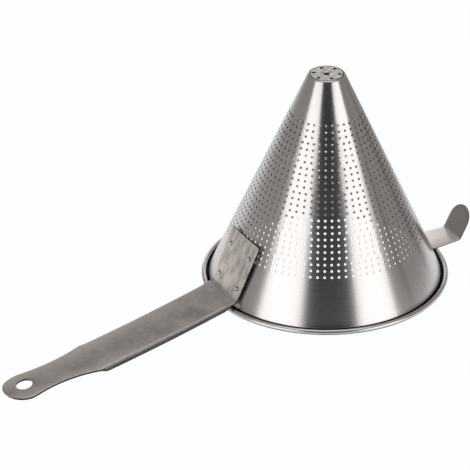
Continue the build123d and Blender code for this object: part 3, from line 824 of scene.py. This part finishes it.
crown_r = (ARM_HALF**2 + CROWN_RISE[0] ** 2) / (2 * CROWN_RISE[0])
rivet_lean = np.arcsin(RIVET_SIDE / crown_r)
numbered = 1
for share in RIVET_SHARES:
    for side in (-1, 1):
        x, z = plate_top + (fold - plate_top) * share
        out = np.array([np.cos(HALF_ANGLE), 0, np.sin(HALF_ANGLE)])
        foot = np.array([x, side * RIVET_SIDE, z]) - (crown_r - crown_r * np.cos(rivet_lean)) * out
        rivet(f"handle_rivet_head_{numbered}", foot * [-1, -1, 1], out * [-1, -1, 1],
              f"handle_rivet_{numbered}", HANDLE_T, HEAD_H)
        numbered += 1
for number, side in ((1, -1), (2, 1)):
    x, z = hook_top + (hook_low - hook_top) * HOOK_RIVET_SHARE
    out = np.array([np.cos(HALF_ANGLE), 0, np.sin(HALF_ANGLE)])
    drop = HOOK_RIVET_SIDE**2 * PLATE_CURVE / HOOK_HALF**2
    rivet(f"hook_rivet_head_{number}", np.array([x, side * HOOK_RIVET_SIDE, z]) - drop * out, out,
          f"hook_rivet_{number}", HOOK_T, HEAD_H / 2)

# A white sheet of paper under the object, tilted as the object leans: it touches the far side
# of the rim and the handle's end. It ends close to the hook, so that the cone's right side
# mirrors little of it. It is white to the camera and in reflections, and keeps a shadow.
FLOOR_FRONT = 0.5
FLOOR_BACK = 0.8
FLOOR_LEFT = 0.8
FLOOR_RIGHT = 0.16
FLOOR_GAP = 0.2 * mm
CAMERA_AZIMUTH = np.radians(-119.8)
corners = np.empty((len(arm.data.vertices), 3))
arm.data.vertices.foreach_get("co", corners.ravel())
floor_slope = (-corners[:, 2] / (BEAD_CENTRE_R - corners[:, 0])).max()
floor_mesh = bpy.data.meshes.new("floor")
to_camera = np.array([FLOOR_FRONT, FLOOR_FRONT, -FLOOR_BACK, -FLOOR_BACK])
to_right = np.array([-FLOOR_LEFT, FLOOR_RIGHT, FLOOR_RIGHT, -FLOOR_LEFT])
floor_x = to_camera * np.cos(CAMERA_AZIMUTH) - to_right * np.sin(CAMERA_AZIMUTH)
floor_y = to_camera * np.sin(CAMERA_AZIMUTH) + to_right * np.cos(CAMERA_AZIMUTH)
floor_z = (floor_x - BEAD_CENTRE_R) * floor_slope - FLOOR_GAP
floor_mesh.from_pydata(np.stack([floor_x, floor_y, floor_z], -1).tolist(), [], [(0, 1, 2, 3)])
floor = bpy.data.objects.new("floor", floor_mesh)
bpy.context.scene.collection.objects.link(floor)
paper = new_material("White paper sweep")
rays = add_node(paper, "ShaderNodeLightPath").outputs
seen = add_node(paper, "ShaderNodeMath", {0: rays["Is Camera Ray"], 1: rays["Is Glossy Ray"]}, operation="MAXIMUM")
seen = add_node(paper, "ShaderNodeMath", {0: seen.outputs[0], 1: rays["Is Transmission Ray"]}, operation="MAXIMUM")
mixed = add_node(paper, "ShaderNodeMath", {0: seen.outputs[0], 1: 0.98}, operation="MULTIPLY").outputs[0]
matt = add_node(paper, "ShaderNodeBsdfDiffuse", {"Color": linear("#f2f2f1")}).outputs[0]
white = add_node(paper, "ShaderNodeEmission", {"Color": (1, 1, 1, 1), "Strength": 1}).outputs[0]
blend = add_node(paper, "ShaderNodeMixShader", {0: mixed, 1: matt, 2: white}).outputs[0]
add_node(paper, "ShaderNodeOutputMaterial", {"Surface": blend})
floor_mesh.materials.append(paper)

# A black flag stands behind the camera, as a photographer sets one for round steel: it is
# the dark stripe down the cone. Two soft boxes beside it give the bright bands.
FLAG_R = 2.75
FLAG_SPAN = (-19, 30)
FLAG_STEPS = 12
FLAG_Z = (-0.3, 2.9)
flag_mesh = bpy.data.meshes.new("black_flag")
flag_turn = CAMERA_AZIMUTH + np.radians(np.linspace(*FLAG_SPAN, FLAG_STEPS))
flag_ring = FLAG_R * np.stack([np.cos(flag_turn), np.sin(flag_turn)], -1)
flag_points = np.vstack([np.column_stack([flag_ring, np.full(FLAG_STEPS, z)]) for z in FLAG_Z])
flag_mesh.from_pydata(flag_points.tolist(), [], grid_faces(2, FLAG_STEPS).tolist())
flag = bpy.data.objects.new("black_flag", flag_mesh)
bpy.context.scene.collection.objects.link(flag)
velvet = new_material("Black cloth")
add_node(velvet, "ShaderNodeOutputMaterial", {
    "Surface": add_node(velvet, "ShaderNodeBsdfDiffuse", {"Color": linear("#262424")}).outputs[0]})
flag_mesh.materials.append(velvet)

# Two thin black stands at the right draw two soft dark lines down the cone.
STAND_R = 0.5
STAND_SPANS = (83.8, 85.8, 120.2, 123.4)
STAND_Z = (-0.5, 0.5)
stand_mesh = bpy.data.meshes.new("lamp_stands")
stand_turn = CAMERA_AZIMUTH + np.radians(STAND_SPANS)
stand_ring = STAND_R * np.stack([np.cos(stand_turn), np.sin(stand_turn)], -1)
stand_points = np.vstack([np.column_stack([stand_ring, np.full(4, z)]) for z in STAND_Z])
stand_mesh.from_pydata(stand_points.tolist(), [], grid_faces(2, 4)[::2].tolist())
stand_mesh.materials.append(velvet)
stands = bpy.data.objects.new("lamp_stands", stand_mesh)
bpy.context.scene.collection.objects.link(stands)


def soft_box(name, azimuth, elevation, distance, wide, high, level):
    """Area lamp that looks at the object; its level is the radiance of its face."""
    lamp = bpy.data.lights.new(name, "AREA")
    lamp.shape = "RECTANGLE"
    lamp.size, lamp.size_y = wide, high
    lamp.energy = level * np.pi * wide * high
    holder = bpy.data.objects.new(name, lamp)
    flat = np.cos(np.radians(elevation)) * distance
    turn = CAMERA_AZIMUTH + np.radians(azimuth)
    holder.location = (flat * np.cos(turn), flat * np.sin(turn), np.sin(np.radians(elevation)) * distance)
    holder.rotation_euler = Vector(holder.location).to_track_quat("Z", "Y").to_euler()
    holder.visible_camera = False
    bpy.context.scene.collection.objects.link(holder)


soft_box("soft_box_left", -43.5, 16, 2.3, 1.75, 1.5, 1.6)
soft_box("soft_box_right", 52, 16, 2.3, 1.6, 1.5, 1.6)
soft_box("soft_box_over", 180, 78, 2.6, 1.6, 1.6, 1.1)
soft_box("soft_box_back", 185, 18, 2.6, 1.7, 0.9, 1.1)
world = bpy.data.worlds.new("studio")
world.use_nodes = True
world.node_tree.nodes["Background"].inputs["Color"].default_value = linear("#989694")
world.node_tree.nodes["Background"].inputs["Strength"].default_value = 1
bpy.context.scene.world = world

camera_data = bpy.data.cameras.new("camera")
camera_data.sensor_width = 36
camera_data.lens = 233.495
camera_data.clip_end = 60
camera = bpy.data.objects.new("camera", camera_data)
camera.location = (-1.069154, -1.865337, 1.226176)
camera.rotation_euler = Euler(np.radians([61.00827, 0.344462, -28.076267]))
bpy.context.scene.collection.objects.link(camera)
bpy.context.scene.camera = camera
bpy.context.scene.view_settings.view_transform = "Standard"
